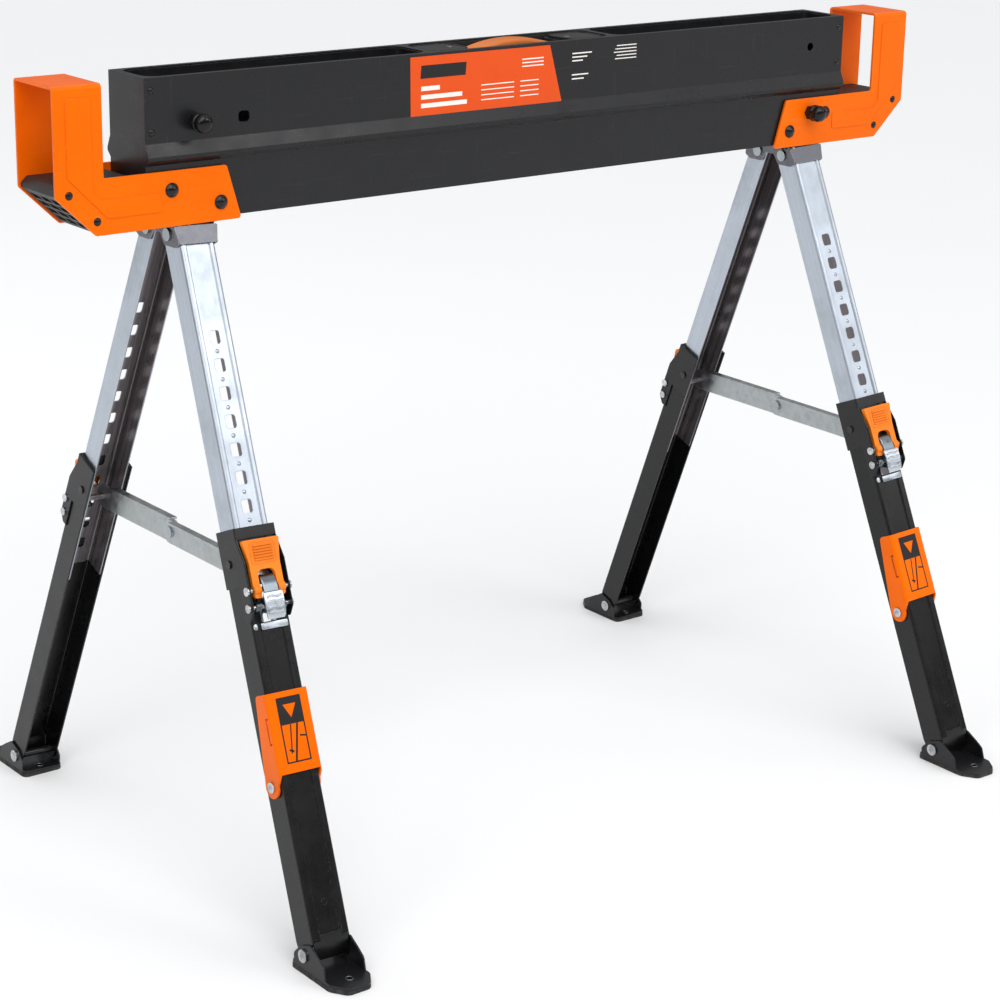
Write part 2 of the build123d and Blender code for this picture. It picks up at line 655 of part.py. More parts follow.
def foot(sx, sy):
    """Pressed foot: a plate with two upright ears round the leg's end."""
    low, high = FOOT_PLATE
    body = across_z(foot_outline(0), low, high)
    x0, x1 = FOOT_EAR
    points = [(-16, low + 1), (-17, -3), (-6.5, 8), (9.5, 14), (23, 6.5), (32.5, 0.5), (36.5, low + 1)]
    ear = outline(points, {1: 5.0, 2: 6.0, 3: 3.0, 5: 5.0})
    body += across_x(ear, x0, x1) + across_x(ear, -x1, -x0)
    body = foot_frame(sx, sy) * (body - rod_x(PIN_R + FIT, -30, 30))
    for hole in foot_holes(sx, sy):
        body -= hole
    return body


def sole(sx, sy):
    """Tread under the foot, trimmed flat to the floor."""
    slab = foot_frame(sx, sy) * across_z(foot_outline(0.2), -24, FOOT_PLATE[0])
    slab -= box((-700, 700), (-500, 500), (-40, 0))
    for hole in foot_holes(sx, sy):
        slab -= hole
    return slab


# ---- brace ----
def stud_place(sy):
    """Where a leg's brace stud stands in the leg set's frame."""
    c, s = cos(radians(SPLAY)), sin(radians(SPLAY))
    y, z = STUD
    return sy * (HINGE_Y + y * c - z * s), y * s + z * c


def brace_link(sx, sy):
    """Half of the level spreader: a strip with a folded top edge, from the stud to past the middle."""
    y, z = stud_place(sy)
    inner, outer = sorted((sy * 0.3, sy * 2.7))
    y0, y1 = sorted((y, 0.0))
    strip = across_x(outline([(y0, z - 12), (y1, z - 12), (y1, z + 12), (y0, z + 12)]), inner, outer)
    for end in (y, 0.0):
        strip += rod_x(12, inner, outer, end, z)
    lip_y = sorted((sy * 6, y - sy * 16))
    strip += box(sorted((sy * 1.0, sy * 9.0)), lip_y, (z + 9.8, z + 12))
    strip += rod_x(6, *sorted((sy * 2.7, sy * 4.9)), 0, z)
    strip -= rod_x(STUD_R + FIT, -30, 30, y, z)
    return set_frame(sx) * strip


# ---- every node ----
def nodes():
    parts = {
        "beam_shell": beam_shell(),
        "pan_left": pan(-1),
        "pan_right": pan(1),
        "end_caps": end_caps(),
        "handle_tray": handle_tray(),
        "handle_grip": handle_grip(),
        "small_rivets": small_rivets(),
        "end_shoes": end_shoes(),
        "bracket_bolts": bracket_bolts(),
        "pivot_saddles": pivot_saddles(),
        "fold_pins": fold_pins(),
        "plunger_collars": plunger_collars(),
    }
    for name, sx in SIDES.items():
        parts[f"bracket_{name}"] = bracket(sx)
        parts[f"hub_{name}"] = hub(sx)
        parts[f"hinge_pins_{name}"] = hinge_pins(sx)
        parts[f"plunger_{name}"] = plunger(sx)
    upper, housing, lever, thumb = upper_leg(), latch_housing(), release_lever(), pawl()
    for name, (sx, sy) in LEGS.items():
        place = leg_frame(sx, sy)
        flips = sy < 0
        parts[f"upper_leg_{name}"] = place * upper
        parts[f"lower_leg_{name}"] = place * lower_leg(flips)
        parts[f"latch_housing_{name}"] = place * housing
        parts[f"leg_pins_{name}"] = Compound(children=[place * pin for pin in leg_pins(flips)])
        parts[f"release_lever_{name}"] = place * lever
        parts[f"pawl_{name}"] = place * thumb
        parts[f"foot_{name}"] = foot(sx, sy)
        parts[f"sole_{name}"] = sole(sx, sy)
        parts[f"brace_link_{name}"] = brace_link(sx, sy)
        if flips:
            parts[f"flip_bracket_{name}"] = place * flip_bracket()
    return parts


os.makedirs("parts", exist_ok=True)
for node, shape in nodes().items():
    export_step(shape, f"parts/{node}.step")
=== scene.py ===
"""Looks of the folding sawhorse: materials, printed panels and small pressed details."""

import json
from math import cos, pi, radians, sin

import bmesh
import bpy
from mathutils import Matrix, Vector


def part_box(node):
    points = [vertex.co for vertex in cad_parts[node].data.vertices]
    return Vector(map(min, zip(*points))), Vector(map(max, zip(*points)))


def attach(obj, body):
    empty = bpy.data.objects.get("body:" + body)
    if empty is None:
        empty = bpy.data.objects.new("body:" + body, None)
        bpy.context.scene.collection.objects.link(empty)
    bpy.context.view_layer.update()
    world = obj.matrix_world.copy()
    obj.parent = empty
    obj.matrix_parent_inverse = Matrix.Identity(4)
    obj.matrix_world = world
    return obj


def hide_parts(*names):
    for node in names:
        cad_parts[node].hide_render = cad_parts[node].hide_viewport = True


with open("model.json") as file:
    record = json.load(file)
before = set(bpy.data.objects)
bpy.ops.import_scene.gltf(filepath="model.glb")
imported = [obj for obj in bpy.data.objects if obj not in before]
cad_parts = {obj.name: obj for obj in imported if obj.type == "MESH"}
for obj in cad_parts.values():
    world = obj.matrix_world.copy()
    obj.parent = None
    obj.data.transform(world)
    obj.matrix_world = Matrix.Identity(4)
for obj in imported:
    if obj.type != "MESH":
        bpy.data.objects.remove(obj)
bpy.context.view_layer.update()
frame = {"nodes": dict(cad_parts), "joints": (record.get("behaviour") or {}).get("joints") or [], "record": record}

MM = 0.001
WORLD = Matrix.Identity(4)
SIDES = ("left", "right")
LEGS = {"front_left": -1, "back_left": 1, "front_right": -1, "back_right": 1}  # lean along y
JOINTS = {joint["name"]: joint for joint in frame["joints"]}

# ---- camera: metres, degrees ----
CAMERA_AT = Vector((-1.6522, -2.1157, 1.1723))
CAMERA_LOOK = Vector((0.58589, 0.75043, -0.30591))
CAMERA_ROLL = 1.08
LENS = 93.4
SENSOR = 36.0


# ---- material nodes: texture places and sizes in metres ----
BORDER = 0.0002  # half width of a mask's soft border
EDGE = 0.0009  # radius of an ordinary worn edge


def srgb(*channels):
    """A colour given as 0 to 255 steps, in the linear values that the shader takes."""
    return [(c / 255 / 12.92) if c / 255 <= 0.04045 else ((c / 255 + 0.055) / 1.055) ** 2.4 for c in channels]


class Finish:
    """One material's nodes, built with short calls. Textures follow the object, in metres."""

    def __init__(self, name, place=None):
        self.material = bpy.data.materials.new(name)
        self.material.use_nodes = True
        self.tree = self.material.node_tree
        self.shader = self.tree.nodes["Principled BSDF"]
        self.point = self.add("ShaderNodeTexCoord").outputs["Object"]
        if place is not None:
            self.point = self.mapping(place.translation, place.to_euler(), (1, 1, 1), "TEXTURE")

    def add(self, kind):
        return self.tree.nodes.new(kind)

    def feed(self, socket, value):
        if isinstance(value, bpy.types.NodeSocket):
            self.tree.links.new(value, socket)
        elif isinstance(value, (list, tuple)) and len(value) == 3 and socket.type == "RGBA":
            socket.default_value = (*value, 1)
        else:
            socket.default_value = value

    def set(self, **inputs):
        for name, value in inputs.items():
            self.feed(self.shader.inputs[name.replace("_", " ")], value)

    def mapping(self, shift, turn, scale, kind="POINT"):
        """The object's own coordinates, shifted, turned and stretched."""
        node = self.add("ShaderNodeMapping")
        node.vector_type = kind
        self.feed(node.inputs["Vector"], self.point)
        node.inputs["Location"].default_value = shift
        node.inputs["Rotation"].default_value = turn
        node.inputs["Scale"].default_value = scale
        return node.outputs["Vector"]

    def noise(self, scale, detail=3.0, rough=0.5, stretch=(1, 1, 1), shift=(0, 0, 0)):
        node = self.add("ShaderNodeTexNoise")
        self.feed(node.inputs["Vector"], self.mapping(shift, (0, 0, 0), stretch))
        node.inputs["Scale"].default_value = scale
        node.inputs["Detail"].default_value = detail
        node.inputs["Roughness"].default_value = rough
        return node.outputs["Fac"]

    def cells(self, scale):
        node = self.add("ShaderNodeTexVoronoi")
        self.feed(node.inputs["Vector"], self.point)
        node.inputs["Scale"].default_value = scale
        return node.outputs["Distance"]

    def remap(self, value, low, high, to_low=0, to_high=1):
        node = self.add("ShaderNodeMapRange")
        for name, number in (("From Min", low), ("From Max", high), ("To Min", to_low), ("To Max", to_high)):
            node.inputs[name].default_value = number
        self.feed(node.inputs["Value"], value)
        return node.outputs["Result"]

    def math(self, operation, a, b):
        """The sum, difference or product of two values, kept between 0 and 1."""
        node = self.add("ShaderNodeMath")
        node.operation = operation
        node.use_clamp = True
        self.feed(node.inputs[0], a)
        self.feed(node.inputs[1], b)
        return node.outputs["Value"]

    def times(self, a, b):
        return self.math("MULTIPLY", a, b)

    def blend(self, a, share, b):
        """A share of one value with the rest of another."""
        return self.math("ADD", self.times(a, share), self.times(b, 1 - share))

    def mix(self, share, a, b):
        node = self.add("ShaderNodeMix")
        node.data_type = "RGBA"
        self.feed(node.inputs["Factor"], share)
        self.feed(node.inputs[6], a)
        self.feed(node.inputs[7], b)
        return node.outputs[2]

    def along(self, axis):
        """One of the object's own coordinates, in metres."""
        node = self.add("ShaderNodeSeparateXYZ")
        self.feed(node.inputs["Vector"], self.point)
        return node.outputs[axis]

    def within(self, axis, low, high):
        """1 between two limits of one coordinate, 0 outside them, with a narrow soft border."""
        value = self.along(axis)
        above = self.remap(value, low - BORDER, low + BORDER)
        below = self.remap(value, high - BORDER, high + BORDER, 1, 0)
        return self.times(above, below)

    def rounded(self, radius):
        """A normal that turns over the edges, as a real rounded edge does."""
        node = self.add("ShaderNodeBevel")
        node.samples = 4
        node.inputs["Radius"].default_value = radius
        return node.outputs["Normal"]

    def edges(self, radius):
        """1 on the sharp edges, 0 on the flats."""
        dot = self.add("ShaderNodeVectorMath")
        dot.operation = "DOT_PRODUCT"
        self.feed(dot.inputs[0], self.rounded(radius))
        self.feed(dot.inputs[1], self.add("ShaderNodeNewGeometry").outputs["Normal"])
        return self.remap(dot.outputs["Value"], 0.985, 0.86, 0.0, 1.0)

    def bump(self, height, strength, distance, normal=None):
        node = self.add("ShaderNodeBump")
        node.inputs["Strength"].default_value = strength
        node.inputs["Distance"].default_value = distance
        self.feed(node.inputs["Height"], height)
        if normal is not None:
            self.feed(node.inputs["Normal"], normal)
        return node.outputs["Normal"]


def shade(colour, share):
    return [min(1.0, c * share) for c in colour]


def powder_coat(name, colour, worn, rough, wear, place=None, tint=(1, 1, 1)):
    """Baked paint on sheet steel: slight orange peel, soft smudges, fine scratches and worn edges."""
    f = Finish(name, place)
    cloud = f.remap(f.noise(7, 4, 0.55), 0.35, 0.65)
    smudge = f.noise(34, 6, 0.62)
    base = f.mix(cloud, shade(colour, 0.9), shade(colour, 1.08))
    chips = f.remap(f.noise(260, 5, 0.7), 0.5, 0.62)
    rub = f.remap(f.noise(18, 3), 0.42, 0.6, 0.15, 1)
    worn_share = f.times(f.times(f.edges(EDGE), chips), f.times(rub, wear))
    scratch_a = f.remap(f.noise(60, 2, 0.4, (0.25, 14, 14)), 0.70, 0.76)
    scratch_b = f.remap(f.noise(60, 2, 0.4, (12, 12, 0.3), (3, 1, 2)), 0.71, 0.77)
    scratches = f.times(f.math("ADD", scratch_a, scratch_b), 0.16 * wear)
    marked = f.mix(f.math("ADD", worn_share, scratches), base, worn)
    specks = f.remap(f.noise(900, 2, 0.6, (1, 1, 1), (5, 5, 5)), 0.70, 0.78, 0, 0.12)
    f.set(Base_Color=f.mix(specks, marked, shade(colour, 1.5)))
    f.set(Roughness=f.remap(smudge, 0.3, 0.7, rough - 0.07, rough + 0.08))
    grain = f.blend(f.noise(1500, 3, 0.55), 0.6, smudge)
    f.set(Normal=f.bump(grain, 0.1, 0.0004, f.rounded(EDGE * 0.8)))
    f.set(Specular_IOR_Level=0.36, Specular_Tint=tint)
    return f.material


def channel_inside(f):
    """1 on the faces inside an upper leg's channel, which follow its stepped web: where the painted shade goes."""
    between_flanges = f.within("X", -0.0181, 0.0181)
    strip = f.within("X", -0.01275, 0.01275)
    behind_strip = f.times(strip, f.within("Y", -1, 0.0127))
    behind_sides = f.times(f.math("SUBTRACT", 1.0, strip), f.within("Y", -1, 0.0145))
    return f.times(between_flanges, f.math("ADD", behind_strip, behind_sides))


def drawn_zinc(name, place):
    """Bright plated channel with streaks along it, cloudy and dull in places, and painted shade inside the
    channel.
    """
    f = Finish(name, place)
    colour = srgb(186, 194, 204)
    streak = f.noise(1.0, 4, 0.6, (1100, 1100, 9))
    broad = f.noise(1.0, 3, 0.5, (160, 160, 3))
    cloud = f.noise(26, 5, 0.6)
    flow = f.blend(streak, 0.5, broad)
    base = f.mix(f.remap(flow, 0.35, 0.65), shade(colour, 0.86), shade(colour, 1.07))
    dull = f.remap(cloud, 0.52, 0.7, 0, 0.35)
    inside = channel_inside(f)
    # painted shade: the faces inside the channel get a dark streaked colour for the shade that falls there
    painted_inner_shade = f.mix(f.remap(flow, 0.3, 0.7), srgb(84, 74, 72), srgb(146, 142, 146))
    f.set(Base_Color=f.mix(inside, f.mix(dull, base, srgb(150, 157, 163)), painted_inner_shade))
    f.set(Metallic=f.remap(inside, 0, 1, 1.0, 0.75))
    f.set(Roughness=f.remap(f.blend(flow, 0.6, cloud), 0.35, 0.65, 0.22, 0.42))
    f.set(Normal=f.bump(f.blend(streak, 0.7, cloud), 0.12, 0.0002, f.rounded(0.0007)))
    return f.material


def zinc(name, tint, rough):
    """Plated hardware: cloudy, slightly yellowed, with darker patches and bright rubbed edges."""
    f = Finish(name)
    colour = srgb(*tint)
    cloud = f.noise(95, 5, 0.62)
    base = f.mix(f.remap(cloud, 0.35, 0.68), shade(colour, 0.78), shade(colour, 1.08))
    warm = f.remap(f.noise(30, 3, 0.5, (1, 1, 1), (4, 0, 2)), 0.5, 0.75, 0, 0.22)
    warmed = f.mix(warm, base, srgb(176, 170, 148))
    rubbed = f.times(f.edges(0.0008), 0.55)
    f.set(Base_Color=f.mix(rubbed, warmed, srgb(228, 232, 234)))
    f.set(Metallic=1.0)
    f.set(Roughness=f.remap(cloud, 0.3, 0.7, rough - 0.08, rough + 0.12))
    f.set(Normal=f.bump(f.blend(f.noise(900, 3, 0.6), 0.6, cloud), 0.16, 0.0003, f.rounded(0.0005)))
    return f.material


def pin_zinc(name, place):
    """Bright pin and rivet heads on a lower leg, with painted shade: the housing's screws are near-black for the
    shade of their holes, and the foot pin's middle for the shade inside the channel.
    """
    f = Finish(name, place)
    cloud = f.noise(140, 5, 0.62)
    # painted shade: a near-black colour masked onto the housing's screws and the foot pin's middle
    foot_pin_middle = f.times(f.within("X", -0.0212, 0.0212), f.within("Z", -0.72, -0.66))
    housing_screws = f.within("Z", -0.3235, -0.3125)
    black = f.math("ADD", housing_screws, foot_pin_middle)
    bright = f.mix(f.remap(cloud, 0.35, 0.68), srgb(150, 153, 156), srgb(222, 225, 227))
    dark = f.mix(cloud, srgb(18, 18, 19), srgb(40, 40, 42))
    f.set(Base_Color=f.mix(black, bright, dark))
    f.set(Metallic=f.remap(black, 0, 1, 1.0, 0.1))
    f.set(Roughness=f.remap(cloud, 0.3, 0.7, 0.2, 0.36))
    f.set(Normal=f.bump(f.noise(900, 3, 0.6), 0.15, 0.0003, f.rounded(0.0006)))
    return f.material


def moulded(name, colour, rough, grain=0.3, wear=0.3):
    """Moulded plastic: fine spark-eroded texture, faint flow marks and polished edges."""
    f = Finish(name)
    flow = f.noise(14, 3, 0.5, (1, 1, 2.5))
    base = f.mix(f.remap(flow, 0.35, 0.65), shade(colour, 0.9), shade(colour, 1.12))
    rubbed = f.times(f.edges(EDGE), f.remap(f.noise(60, 4), 0.4, 0.65, 0, wear))
    f.set(Base_Color=f.mix(rubbed, base, shade(colour, 2.2)))
    f.set(Roughness=f.remap(f.noise(40, 5, 0.6), 0.3, 0.7, rough - 0.06, rough + 0.07))
    f.set(Normal=f.bump(f.blend(f.cells(1400), 0.7, flow), grain, 0.0003, f.rounded(EDGE)))
    f.set(Specular_IOR_Level=0.3)
    return f.material


def tread_rubber(name):
    """Matt rubber with dust caught near the floor."""
    f = Finish(name)
    colour = srgb(26, 26, 27)
    low_down = f.remap(f.along("Z"), 0.0, 0.012, 1, 0.1)
    dust = f.times(low_down, f.remap(f.noise(120, 5, 0.7), 0.42, 0.7, 0, 0.5))
    base = f.mix(f.noise(45, 4), shade(colour, 0.8), shade(colour, 1.25))
    f.set(Base_Color=f.mix(dust, base, srgb(96, 92, 86)))
    f.set(Roughness=f.remap(f.noise(80, 4), 0.3, 0.7, 0.68, 0.88))
    f.set(Normal=f.bump(f.noise(700, 4, 0.65), 0.35, 0.0004, f.rounded(0.0012)))
    return f.material


def printed(name, colour):
    """Printed film: even ink with a faint screen texture and slightly rubbed patches."""
    f = Finish(name)
    rub = f.remap(f.noise(40, 5, 0.6), 0.4, 0.72, 0, 0.14)
    ink = f.mix(f.noise(9, 2), shade(colour, 0.95), shade(colour, 1.05))
    f.set(Base_Color=f.mix(rub, ink, shade(colour, 1.25)))
    f.set(Roughness=f.remap(f.noise(70, 4), 0.3, 0.7, 0.33, 0.46))
    f.set(Normal=f.bump(f.cells(2200), 0.05, 0.0001))
    f.set(Specular_IOR_Level=0.25)
    return f.material


# ---- frames of the legs, from the joints ----
def leg_place(leg):
    """A leg's own place: hinge pin along x at the origin, web towards +y, foot towards -z."""
    along = Vector(JOINTS[f"{leg}_extend"]["axis"])
    pin = Vector(JOINTS[f"{leg}_foot_swivel"]["axis"])
    web = along.cross(pin)
    turn = Matrix((pin, web, along)).transposed().to_4x4()
    return Matrix.Translation(Vector(JOINTS[f"{leg}_swing"]["pos_m"])) @ turn


PLACES = {leg: leg_place(leg) for leg in LEGS}

# ---- materials ----
BLACK = srgb(22, 22, 24)
LEG_PAINT = srgb(11, 11, 12)
STEEL_UNDER_PAINT = srgb(120, 120, 122)
ORANGE = srgb(246, 104, 2)
FINISHES = {
    "black_paint": powder_coat("black powder coat", BLACK, STEEL_UNDER_PAINT, 0.30, 0.45),
    "black_hardware": powder_coat("black hardware", srgb(14, 13, 14), srgb(110, 108, 106), 0.16, 0.35),
    "orange_paint": powder_coat("orange powder coat", ORANGE, srgb(255, 176, 110), 0.33, 0.5,
                                tint=(1.0, 0.55, 0.12)),
    "moulded_black": moulded("moulded black", srgb(38, 37, 37), 0.5),
    "orange_grip": moulded("orange grip", srgb(206, 112, 44), 0.46, 0.25, 0.12),
    "zinc_steel": zinc("zinc plate", (176, 182, 184), 0.32),
    "knob_black": moulded("glossy knob", srgb(12, 12, 13), 0.12, 0.03, 0.1),
    "orange_lever": moulded("orange lever", srgb(240, 126, 22), 0.40, 0.18, 0.12),
    "rubber": tread_rubber("tread rubber"),
    "label_orange": printed("label orange", srgb(222, 78, 14)),
    "label_white": printed("label white", srgb(236, 232, 226)),
    "label_black": printed("label black", srgb(34, 32, 32)),
    # the hubs' dark zinc: partly their own dark finish, partly painted shade from the brackets above them
    "dark_zinc_and_shade": zinc("dark zinc", (112, 112, 118), 0.30),
    "grey_zinc": zinc("grey zinc", (132, 142, 152), 0.28),
    "bright_zinc": zinc("bright zinc", (206, 214, 222), 0.30),
    "spring_steel": zinc("spring steel", (96, 106, 112), 0.34),
}
LEG_ZINC = {leg: drawn_zinc(f"drawn zinc {leg}", PLACES[leg]) for leg in LEGS}
LEG_PINS = {leg: pin_zinc(f"leg pins {leg}", PLACES[leg]) for leg in LEGS}
LEG_BLACK = {leg: powder_coat(f"leg powder coat {leg}", LEG_PAINT, STEEL_UNDER_PAINT, 0.28, 0.55, PLACES[leg])
             for leg in LEGS}
# hubs: dark zinc, which also carries painted shade from the brackets over them
OWN_FINISHES = {f"hub_{side}": FINISHES["dark_zinc_and_shade"] for side in SIDES}
OWN_FINISHES.update({f"upper_leg_{leg}": LEG_ZINC[leg] for leg in LEGS})
OWN_FINISHES.update({f"lower_leg_{leg}": LEG_BLACK[leg] for leg in LEGS})
OWN_FINISHES.update({f"leg_pins_{leg}": LEG_PINS[leg] for leg in LEGS})


def finish_nodes():
    """Gives every node its own finish or its slot's, and rounds the edges of brackets and feet."""
    slots = {part["node"]: part["material_slot"] for part in frame["record"]["subparts"]}
    for node, obj in frame["nodes"].items():
        obj.data.materials.clear()
        obj.data.materials.append(OWN_FINISHES.get(node) or FINISHES[slots[node]])
        if node.startswith(("bracket_l", "bracket_r", "flip_bracket", "end_caps")):
            soften(obj, 0.55)
        if node.startswith(("foot_", "sole_")):
            soften(obj, 0.9)


def soften(obj, width):
    """Rounds a part's sharp edges, which then catch the light."""
    bevel = obj.modifiers.new("rolled edges", "BEVEL")
    bevel.width = width * MM
    bevel.segments = 2
    bevel.limit_method = "ANGLE"
    bevel.angle_limit = radians(50)
    bevel.harden_normals = True


# ---- mesh pieces ----
def add_piece(name, mesh, place, material, body):
    """Turns a bmesh, in millimetres in the given place, into a piece that rides on a body."""
    bmesh.ops.recalc_face_normals(mesh, faces=mesh.faces)
    data = bpy.data.meshes.new(name)
    mesh.to_mesh(data)
    mesh.free()
    data.transform(place @ Matrix.Diagonal((MM, MM, MM, 1)))
    data.materials.append(material)
    data.set_sharp_from_angle(angle=radians(35))
    piece = bpy.data.objects.new(name, data)
    bpy.context.scene.collection.objects.link(piece)
    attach(piece, body)
    return piece


def loft(mesh, rings):
    """Adds a closed skin over rings of points. A ring of one point is a tip."""
    rings = [[mesh.verts.new(point) for point in ring] for ring in rings]
    for low, high in zip(rings, rings[1:]):
        count = max(len(low), len(high))
        for n in range(count):
            after = (n + 1) % count
            near = [low[n], low[after]] if len(low) > 1 else low
            far = [high[after], high[n]] if len(high) > 1 else high
            mesh.faces.new(near + far)
    for ring in (rings[0], rings[-1]):
        if len(ring) > 1:
            mesh.faces.new(ring)


def prism(mesh, outline, bottom, top):
    """Adds a closed prism over an x-z outline between two y values."""
    loft(mesh, [[(x, y, z) for x, z in outline] for y in (bottom, top)])


def plate(outline, bottom, top):
    """A single prism."""
    mesh = bmesh.new()
    prism(mesh, outline, bottom, top)
    return mesh


def circle(radius, count):
    """Pairs of coordinates round a circle about the origin."""
    return [(radius * cos(2 * pi * n / count), radius * sin(2 * pi * n / count)) for n in range(count)]


def rounded_rectangle(x, z, width, height, radius):
    """Corner points of a rounded rectangle round (x, z)."""
    points = []
    steps = 5
    for sx, sz, start in ((1, 1, 0), (-1, 1, 90), (-1, -1, 180), (1, -1, 270)):
        cx, cz = x + sx * (width / 2 - radius), z + sz * (height / 2 - radius)
        for n in range(steps + 1):
            turn = radians(start + 90 * n / steps)
            points.append((cx + radius * cos(turn), cz + radius * sin(turn)))
    return points


def ribbon(mesh, stations):
    """Adds a closed strip along x-symmetric stations: (y, z, half width, thickness) of its outer face."""
    rings = []
    last = len(stations) - 1
    for n, (y, z, half, thick) in enumerate(stations):
        before, after = stations[max(n - 1, 0)], stations[min(n + 1, last)]
        along = Vector((after[0] - before[0], after[1] - before[1])).normalized()
        inward = Vector((along.y, -along.x)) * thick
        soft = min(0.8, thick * 0.3)
        ring = [(-half, 0.28), (-half + soft, 0), (half - soft, 0), (half, 0.28), (half, 0.72),
                (half - soft, 1), (-half + soft, 1), (-half, 0.72)]
        rings.append([(x, y + inward.x * deep, z + inward.y * deep) for x, deep in ring])
    loft(mesh, rings)


def wire(mesh, points, radius, sides=8):
    """Adds a round wire along a run of points."""
    points = [Vector(point) for point in points]
    last = len(points) - 1
    rings = []
    for n, point in enumerate(points):
        along = (points[min(n + 1, last)] - points[max(n - 1, 0)]).normalized()
        first = along.orthogonal().normalized() if n == 0 else (first - along * first.dot(along)).normalized()
        second = along.cross(first)
        rings.append([point + first * across + second * up for across, up in circle(radius, sides)])
    loft(mesh, rings)


def hoop(mesh, points, radius, sides=8):
    """Adds a round wire along a closed run of points."""
    wire(mesh, points + points[:1], radius, sides)


# ---- printed panels ----
FILM = 0.15
INK = 0.06
STAND_OFF = 0.01
TRAY_TO_FACE = 3.2  # from the handle tray's side to the outer face of the beam's wall
FLIP_FACE = 20.4  # outer face of a folded board rest, in its leg's own place


def bars(mesh, spots, bottom, top):
    """Adds plain bars, each (left, right, middle height, thickness)."""
    for left, right, z, thick in spots:
        low, high = z - thick / 2, z + thick / 2
        prism(mesh, [(left, low), (right, low), (right, high), (left, high)], bottom, top)


def stroke(mesh, start, end, thick, bottom, top):
    """Adds a plain slanted stroke between two x-z points."""
    along = (Vector(end) - Vector(start)).normalized() * thick / 2
    (x0, z0), (x1, z1) = start, end
    prism(mesh, [(x0 - along.y, z0 + along.x), (x0 + along.y, z0 - along.x),
                 (x1 + along.y, z1 - along.x), (x1 - along.y, z1 + along.x)], bottom, top)


def front_label():
    """Orange panel with a slanted end on the beam's front, with plain bars in place of any wording."""
    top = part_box("beam_shell")[1].z / MM - 3.0
    foot = top - 59.3
    face = -(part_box("handle_tray")[1].y / MM + TRAY_TO_FACE)
    film = face - FILM
    panel = [(-147.5, foot), (45.0, foot), (28.0, top), (-148.5, top)]
    add_piece("front_label", plate(panel, film, face - STAND_OFF), WORLD, FINISHES["label_orange"], "beam")
    mark = plate([(-136, top - 22), (-80, top - 22), (-79, top - 9), (-135, top - 9)], film - INK, film)
    add_piece("front_label_mark", mark, WORLD, FINISHES["label_black"], "beam")
    rows = bmesh.new()
    headline = [(-135, -112, top - 32, 4.4), (-135, -84, top - 40.5, 4.4), (-135, -78, top - 49, 4.4)]
    columns = ((-60, -18), (-10, 14))
    notes = [(left, right, top - 34 - 5.0 * n, 1.0) for left, right in columns for n in range(4)]
    small = [(-8, 20, top - 12 - 3.6 * n, 1.2) for n in range(3)]
    bars(rows, headline + notes + small, film - INK, film)
    add_piece("front_label_bars", rows, WORLD, FINISHES["label_white"], "beam")
    side = bmesh.new()
    upper = [(58, 84 - 6 * n, top - 11 - 3.8 * n, 1.3) for n in range(3)]
    lower = [(58, 80 - 6 * n, top - 33 - 4.2 * n, 1.3) for n in range(2)]
    right = [(118 - 2 * (n % 3), 145, top - 7 - 3.4 * n, 1.0) for n in range(5)]
    bars(side, upper + lower + right, face - INK, face - STAND_OFF)
    add_piece("front_print_bars", side, WORLD, FINISHES["label_white"], "beam")


def flip_label(leg):
    """Dark and orange panel on a board rest: a plain arrow, and an outlined field with four strokes."""
    film = FLIP_FACE + FILM
    body = f"{leg}_flip"
    dark = bmesh.new()
    prism(dark, rounded_rectangle(0, -462.5, 27, 26, 0.8), FLIP_FACE, film)
    bars(dark, [(-13.5, 13.5, -511.2, 1.4)], FLIP_FACE, film)
    bars(dark, [(x - 0.7, x + 0.7, -493.0, 35.2) for x in (-12.8, 12.8)], FLIP_FACE, film)
    stroke(dark, (3.0, -510.6), (-5.0, -475.6), 2.0, FLIP_FACE, film)
    stroke(dark, (-5.6, -487.4), (-12.4, -488.6), 1.6, FLIP_FACE, film)
    stroke(dark, (6.4, -503.0), (2.4, -475.8), 1.3, FLIP_FACE, film)
    stroke(dark, (8.6, -499.4), (3.6, -501.4), 1.8, FLIP_FACE, film)
    add_piece(f"flip_label_{leg}", dark, PLACES[leg], FINISHES["label_black"], body)
    arrow = plate([(-7.2, -456.5), (0, -469.5), (7.2, -456.5)], film, film + INK)
    add_piece(f"flip_arrow_{leg}", arrow, PLACES[leg], FINISHES["orange_paint"], body)


# ---- latch parts, in a leg's own place ----
PAWL_PIN = (20.2, -362.5)  # y and z
LEVER_FACE = 25.6
RIB_TOP = -305.3
RIB_PITCH = 2.7


def pawl_piece(leg):
    """Bent thumb pawl: a narrow arched neck, a wide ribbed head, and cheeks down to its pin."""
    place, body = PLACES[leg], f"{leg}_pawl"
    neck = bmesh.new()
    ribbon(neck, [(21.6, -333.0, 7.4, 2.0), (24.6, -334.6, 8.0, 2.4), (27.0, -338.5, 8.0, 2.6),
                  (28.4, -343.5, 8.0, 2.6), (28.9, -348.6, 8.0, 2.6), (29.2, -353.0, 8.0, 2.4)])
    add_piece(f"pawl_neck_{leg}", neck, place, FINISHES["grey_zinc"], body)
    head = bmesh.new()
    ribbon(head, [(29.6, -349.6, 10.0, 2.0), (30.8, -350.4, 10.6, 2.8), (31.4, -352.6, 10.8, 3.2),
                  (31.7, -360.0, 10.8, 3.2), (31.4, -368.0, 10.6, 3.2), (30.6, -373.2, 10.0, 3.0),
                  (29.0, -375.8, 9.2, 2.4)])
    for row in range(4):
        z = -354.6 - 4.9 * row
        lift = 31.75 - 0.11 * row * (row - 1)
        wire(head, [(x, lift, z + 0.45 * sin(x * 0.5)) for x in range(-8, 9)], 1.05)
    cheek = [(29.0, -351.0), (29.6, -368.0), (24.0, -369.5), (19.0, -367.6), (15.6, -363.4), (16.4, -359.0)]
    for side in (-1, 1):
        loft(head, [[(side * x, y, z) for y, z in cheek] for x in (6.2, 8.4)])
    piece = add_piece(f"thumb_pawl_{leg}", head, place, FINISHES["bright_zinc"], body)
    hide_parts(f"pawl_{leg}")


